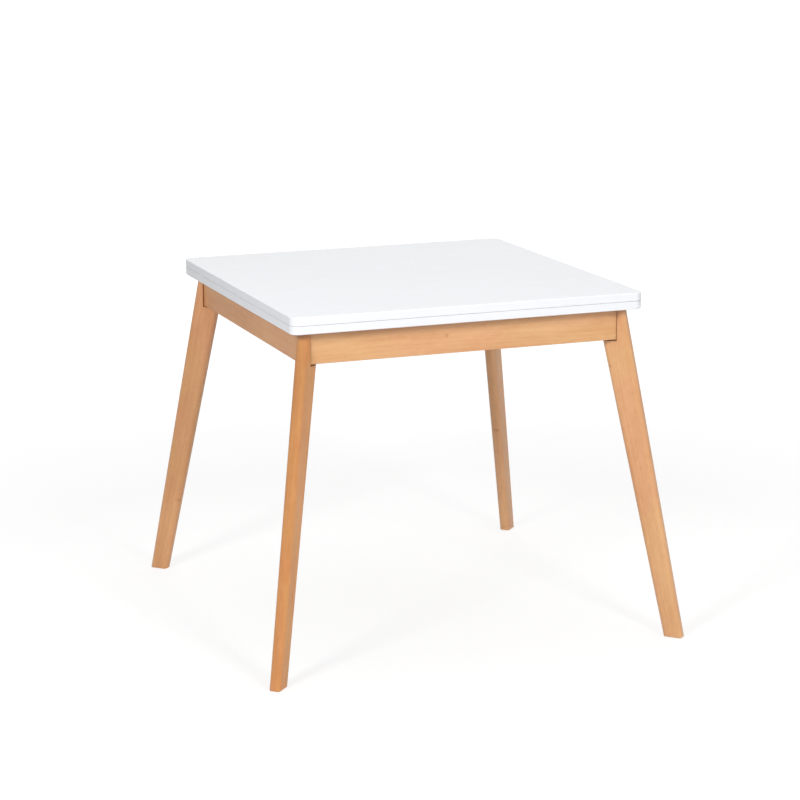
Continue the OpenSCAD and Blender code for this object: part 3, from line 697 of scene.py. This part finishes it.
# %% Set a turned piece at its spots
SHARP_ANGLE = math.radians(35)


def fit(name, shape, spots, body, slot, *replaced):
    """Joins a copy of the shape at each spot, a 4 by 4 matrix, and sets it on a body."""
    one, data, joined = bpy.data.meshes.new(name + "_one"), bpy.data.meshes.new(name), bmesh.new()
    shape.to_mesh(one)
    shape.free()
    for spot in spots:
        copy = one.copy()
        copy.transform(spot)
        joined.from_mesh(copy)
        bpy.data.meshes.remove(copy)
    bpy.data.meshes.remove(one)
    joined.to_mesh(data)
    joined.free()
    data.shade_smooth()
    data.set_sharp_from_angle(angle=SHARP_ANGLE)
    data.materials.append(finishes[slot])
    piece = bpy.data.objects.new(name, data)
    bpy.context.scene.collection.objects.link(piece)
    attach(piece, body)
    if replaced:
        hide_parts(*replaced)
    low, high = (Vector([limit(point.co[axis] for point in data.vertices) for axis in range(3)])
                 for limit in (min, max))
    print(name, len(data.polygons), "faces, from", low[:], "to", high[:])


# %% [markdown]
# ## Leg bolts
# Two bolts hold each leg: wide flat heads with a rolled rim, which bear on the corner
# block, and a hexagon socket for a 4 mm key. The socket is forged, so it has flat sides and
# a shallow cone at its bottom. A Boolean cut would make it too, but it leaves long thin
# faces; a hexagon that is divided into as many edges as the rim bridges cleanly to it.

# %% Forge the leg bolts
KEY_MM = 4.0
KEY_DEPTH_MM = 3.2
KEY_CONE_M = 0.0005
HEAD_MM = 2.2
# From the middle of the table to the face of a corner block, along the diagonal
BLOCK_FACE_MM = 433.310
BOLT_HEIGHTS = (0.6824, 0.7084)

bolt = spun(
    [(3.4, -HEAD_MM), (7.5, -HEAD_MM), (7.5, 0), (3, 0), (3, 60), (0, 60)],
    [(7.5, -HEAD_MM, 0.9), (7.5, 0, 0.3), (3, 60, 0.7)],
)
mouth = [edge for edge in bolt.edges if edge.is_boundary]
bmesh.ops.create_circle(
    bolt, segments=6, radius=KEY_MM / 2000 / math.cos(math.pi / 6),
    matrix=Matrix.Translation((0, 0, -HEAD_MM / 1000)),
)
hexagon = [edge for edge in bolt.edges if edge.is_wire]
bmesh.ops.subdivide_edges(bolt, edges=hexagon, cuts=ROUND_SEGMENTS // 6 - 1)
socket = [edge for edge in bolt.edges if edge.is_wire]
bmesh.ops.bridge_loops(bolt, edges=mouth + socket)
wall = bmesh.ops.extrude_edge_only(bolt, edges=socket)["geom"]
bottom = [item for item in wall if isinstance(item, bmesh.types.BMEdge) and item.is_boundary]
bmesh.ops.translate(
    bolt, vec=(0, 0, KEY_DEPTH_MM / 1000),
    verts=[item for item in wall if isinstance(item, bmesh.types.BMVert)],
)
socket_floor = bmesh.ops.edgeloop_fill(bolt, edges=bottom)["faces"]
bmesh.ops.recalc_face_normals(bolt, faces=bolt.faces)
bmesh.ops.poke(bolt, faces=socket_floor, offset=-KEY_CONE_M)
bolt_spots = [
    Matrix.Rotation(math.radians(45 + 90 * quarter), 4, "Z")
    @ Matrix.Translation((BLOCK_FACE_MM / 1000, 0, height)) @ Matrix.Rotation(math.pi / 2, 4, "Y")
    for quarter in range(4) for height in BOLT_HEIGHTS
]
fit("forged_leg_bolts", bolt, bolt_spots, "frame", "zinc_steel", "leg_bolts")

# %% [markdown]
# ## Pivot bolt and lock nut
# The top turns on one bolt, held from below by a lock nut. A nut is turned first, with a
# cone on both ends, and its six flats are milled after that, which leaves the curved
# corners that every nut shows. Cutting six planes off a spun blank copies that. A nylon ring
# sits in the collar and grips the thread. Rings stand in for the thread's helix, because
# only 2 mm of it shows.

# %% Turn the pivot bolt and mill the nut
PIVOT = (0.20015, 0.20015)
PIVOT_BOLT_FOOT = 0.6859
NUT_FOOT = 0.6879
THREAD_TURNS = 8
THREAD_PITCH_MM = 1.5
# One turn of the thread as (radius, rise): the crest, then the root
THREAD_TURN = ((5.0, 0.0), (5.0, 0.2), (4.25, 0.75), (4.25, 0.9))
THREAD_START_MM = 0.9
NUT_FLATS_MM = 17.0

crests = [
    (radius, THREAD_START_MM + THREAD_PITCH_MM * turn + rise)
    for turn in range(THREAD_TURNS) for radius, rise in THREAD_TURN
]
pivot_bolt = spun(
    [(0, 0), (4.1, 0), *crests, (5.0, 13.2), (5.0, 45.5), (11, 45.5), (11, 49.5), (0, 49.5)],
    [(11, 49.5, 3.0)],
)
fit("turned_pivot_bolt", pivot_bolt, [Matrix.Translation((*PIVOT, PIVOT_BOLT_FOOT))],
    "lower_top", "zinc_steel", "pivot_bolt")

nut = spun([
    (5.05, 10), (8.1, 10), (9.75, 9.05), (9.75, 3.95), (8.1, 3.0), (7.5, 3.0), (7.5, 0.6),
    (7.2, 0.15), (6.7, 0), (6.3, 0.15), (6.2, 0.5), (6.2, 2.6), (5.05, 2.6), (5.05, 10),
])
for side in range(6):
    bearing = math.radians(30 + 60 * side)
    facing = Vector((math.cos(bearing), math.sin(bearing), 0))
    cut = bmesh.ops.bisect_plane(
        nut, geom=nut.verts[:] + nut.edges[:] + nut.faces[:],
        plane_co=facing * NUT_FLATS_MM / 2000, plane_no=facing, clear_outer=True,
    )["geom_cut"]
    bmesh.ops.edgeloop_fill(
        nut, edges=[item for item in cut if isinstance(item, bmesh.types.BMEdge)],
    )
bmesh.ops.recalc_face_normals(nut, faces=nut.faces)
nut_spot = Matrix.Translation((*PIVOT, NUT_FOOT))
fit("milled_lock_nut", nut, [nut_spot], "lower_top", "zinc_steel", "pivot_lock_nut")
grip = spun(
    [(5.05, 0.35), (6.15, 0.35), (6.15, 2.5), (5.05, 2.5), (5.05, 0.35)], [(6.15, 0.35, 0.3)],
)
fit("nylon_grip_ring", grip, [nut_spot], "lower_top", "nylon")

# %% [markdown]
# ## Glides and bumpers
# Nylon buttons under the feet, on the aprons and between the leaves are moulded, so no rim
# that shows is sharp. They are spun and rounded as the bolts are.

# %% Mould the glides and bumpers
FOOT_GLIDE_MM = 7.0
# Along an apron from its middle, out from the middle of the table, and above the floor
APRON_GLIDE_ALONG = 0.190
APRON_GLIDE_OUT = 0.358
APRON_GLIDE_FOOT = 0.7272
BUMPER_OUT = 0.370
BUMPER_FOOT = 0.7474

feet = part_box("foot_glides")[1].x - FOOT_GLIDE_MM / 1000
foot_glide = spun(
    [(0, 0), (FOOT_GLIDE_MM, 0), (FOOT_GLIDE_MM, 6), (0, 6)], [(FOOT_GLIDE_MM, 0, 0.6)],
)
fit("moulded_foot_glides", foot_glide,
    [Matrix.Translation((x, y, 0)) for x in (-feet, feet) for y in (-feet, feet)],
    "frame", "nylon", "foot_glides")

apron_glide = spun([(0, 0), (6, 0), (6, 4), (0, 4)], [(6, 4, 0.7)])
fit("moulded_apron_glides", apron_glide,
    [Matrix.Rotation(math.radians(90 * quarter), 4, "Z")
     @ Matrix.Translation((x, APRON_GLIDE_OUT, APRON_GLIDE_FOOT))
     for quarter in range(4) for x in (-APRON_GLIDE_ALONG, APRON_GLIDE_ALONG)],
    "frame", "nylon", "apron_glides")

bumper = spun([(0, 0), (4.5, 0), (4.5, 2.5), (0, 2.5)], [(4.5, 2.5, 0.4)])
fit("moulded_leaf_bumpers", bumper,
    [Matrix.Translation((x, y, BUMPER_FOOT))
     for x in (-BUMPER_OUT, BUMPER_OUT) for y in (-BUMPER_OUT, BUMPER_OUT)],
    "lower_top", "nylon", "leaf_bumpers")

# %% [markdown]
# ## Floor
# The table stands on a plain white sheet. A brighter lamp could whiten it, but it would
# bleach the table too. So the sheet reflects light as white paper does, while towards the
# camera it glows enough to reach white and still darkens a little where the table shades
# it. It also glows right under a foot, which would be black there.

# %% Lay the floor
FLOOR_HALF = 30.0
FLOOR_DEPTH = 0.0002
# The lamps reach less far than the eye does, so the glow grows between these distances
GLOW_FROM_M = 1.2
GLOW_TO_M = 4.0
NEAR_GLOW = 0.75
FAR_GLOW = 1.0
FLOOR_SHADED = 0.30
# A foot's underside is only 1 mm above the sheet, which glows there so that it can be seen
CLOSE_M = 0.004

mesh = bmesh.new()
bmesh.ops.create_grid(mesh, x_segments=1, y_segments=1, size=FLOOR_HALF)
bmesh.ops.translate(mesh, verts=mesh.verts, vec=(0, 0, -FLOOR_DEPTH))
floor_mesh = bpy.data.meshes.new("floor")
mesh.to_mesh(floor_mesh)
mesh.free()
floor = bpy.data.objects.new("floor", floor_mesh)
bpy.context.scene.collection.objects.link(floor)

paper = bpy.data.materials.new("white_paper_floor")
paper.use_nodes = True
tree = paper.node_tree
tree.nodes.clear()
coord = add(tree, "ShaderNodeTexCoord").outputs["Object"]
pulp = add(tree, "ShaderNodeTexNoise", {
    "Vector": coord, "Scale": 2.0, "Detail": 2.0,
}).outputs["Fac"]
tint = add(tree, "ShaderNodeMix", {
    "Factor": pulp, "A": linear("#E9E9E9"), "B": linear("#E7E7E7"),
}, data_type="RGBA")
plain = add(tree, "ShaderNodeBsdfDiffuse", {"Color": tint.outputs["Result"]})
shaded = add(tree, "ShaderNodeBsdfDiffuse", {"Color": (FLOOR_SHADED,) * 3 + (1.0,)})
distance = add(tree, "ShaderNodeVectorMath", {0: coord}, operation="LENGTH").outputs["Value"]
level = add(tree, "ShaderNodeMapRange", {
    "Value": distance, "From Min": GLOW_FROM_M, "From Max": GLOW_TO_M,
    "To Min": NEAR_GLOW, "To Max": FAR_GLOW,
}).outputs["Result"]
glow = add(tree, "ShaderNodeEmission", {"Color": (1, 1, 1, 1), "Strength": level})
seen = add(tree, "ShaderNodeAddShader", {0: shaded.outputs[0], 1: glow.outputs[0]})
rays = add(tree, "ShaderNodeLightPath")
close = add(tree, "ShaderNodeMath", {
    0: rays.outputs["Ray Length"], 1: CLOSE_M,
}, operation="LESS_THAN").outputs[0]
base = add(tree, "ShaderNodeMixShader", {0: close, 1: plain.outputs[0], 2: glow.outputs[0]})
lit = add(tree, "ShaderNodeMixShader", {
    0: rays.outputs["Is Camera Ray"], 1: base.outputs[0], 2: seen.outputs[0],
})
# Seen from under the floor, the sheet is left clear, so that the frame's underside shows
under = add(tree, "ShaderNodeMath", {
    0: rays.outputs["Is Camera Ray"], 1: add(tree, "ShaderNodeNewGeometry").outputs["Backfacing"],
}, operation="MULTIPLY").outputs[0]
clear = add(tree, "ShaderNodeBsdfTransparent")
chosen = add(tree, "ShaderNodeMixShader", {0: under, 1: lit.outputs[0], 2: clear.outputs[0]})
add(tree, "ShaderNodeOutputMaterial", {"Surface": chosen.outputs[0]})
floor_mesh.materials.append(paper)
print("floor:", 2 * FLOOR_HALF, "m wide")

# %% [markdown]
# ## Softboxes
# A white studio has big soft lamps. Here a large one hangs overhead, a smaller one stands
# at the front and one at the front left, whose shadows run back from the feet, and a wide
# weak one at the front right fills those shadows. A single sky would be softer still, but
# it gives no shadows. Gloss mirrors the overhead lamp alone, because the others would
# show as bright patches on the lacquer.

# %% Light the studio
AIM = Vector((0, 0, 0.5))
# Name: place, width in metres, watts, and whether gloss mirrors it
SOFTBOXES = {
    "front_softbox": ((0.5, -4.5, 3.0), 0.9, 72, False),
    "left_softbox": ((-3.4, -2.6, 2.6), 0.9, 95, False),
    "right_fill": ((3.6, -4.0, 1.6), 2.6, 41, False),
    "overhead_softbox": ((0.5, 0.5, 4.2), 3.0, 49, True),
}

for name, (place, width, watts, mirrored) in SOFTBOXES.items():
    data = bpy.data.lights.new(name, "AREA")
    data.shape = "SQUARE"
    data.size = width
    data.energy = watts
    lamp = bpy.data.objects.new(name, data)
    lamp.visible_glossy = mirrored
    bpy.context.scene.collection.objects.link(lamp)
    facing = (AIM - Vector(place)).to_track_quat("-Z", "Y")
    lamp.matrix_world = Matrix.Translation(place) @ facing.to_matrix().to_4x4()
print("softboxes:", len(SOFTBOXES))

# %% [markdown]
# ## White surroundings
# The walls of the studio are white. As a light they are weak, and they fill the shadows
# from all sides. The camera and all gloss see them at full white, so that the background
# is clean and metal has something bright to mirror, without more light on the table.

# %% Paint the surroundings
SKY = 0.31

world = bpy.data.worlds.new("white_studio")
bpy.context.scene.world = world
world.use_nodes = True
tree = world.node_tree
tree.nodes.clear()
ambient = add(tree, "ShaderNodeBackground", {"Color": (1, 1, 1, 1), "Strength": SKY})
backdrop = add(tree, "ShaderNodeBackground", {"Color": (1, 1, 1, 1), "Strength": 1.0})
rays = add(tree, "ShaderNodeLightPath")
sharp = add(tree, "ShaderNodeMath", {
    0: rays.outputs["Is Camera Ray"], 1: rays.outputs["Is Glossy Ray"],
}, operation="MAXIMUM")
either = add(tree, "ShaderNodeMath", {
    0: sharp.outputs[0], 1: rays.outputs["Is Transmission Ray"],
}, operation="MAXIMUM")
mixed = add(tree, "ShaderNodeMixShader", {
    0: either.outputs[0], 1: ambient.outputs[0], 2: backdrop.outputs[0],
})
add(tree, "ShaderNodeOutputWorld", {"Surface": mixed.outputs[0]})
bpy.context.scene.view_settings.view_transform = "Standard"
print("sky as a light:", SKY)
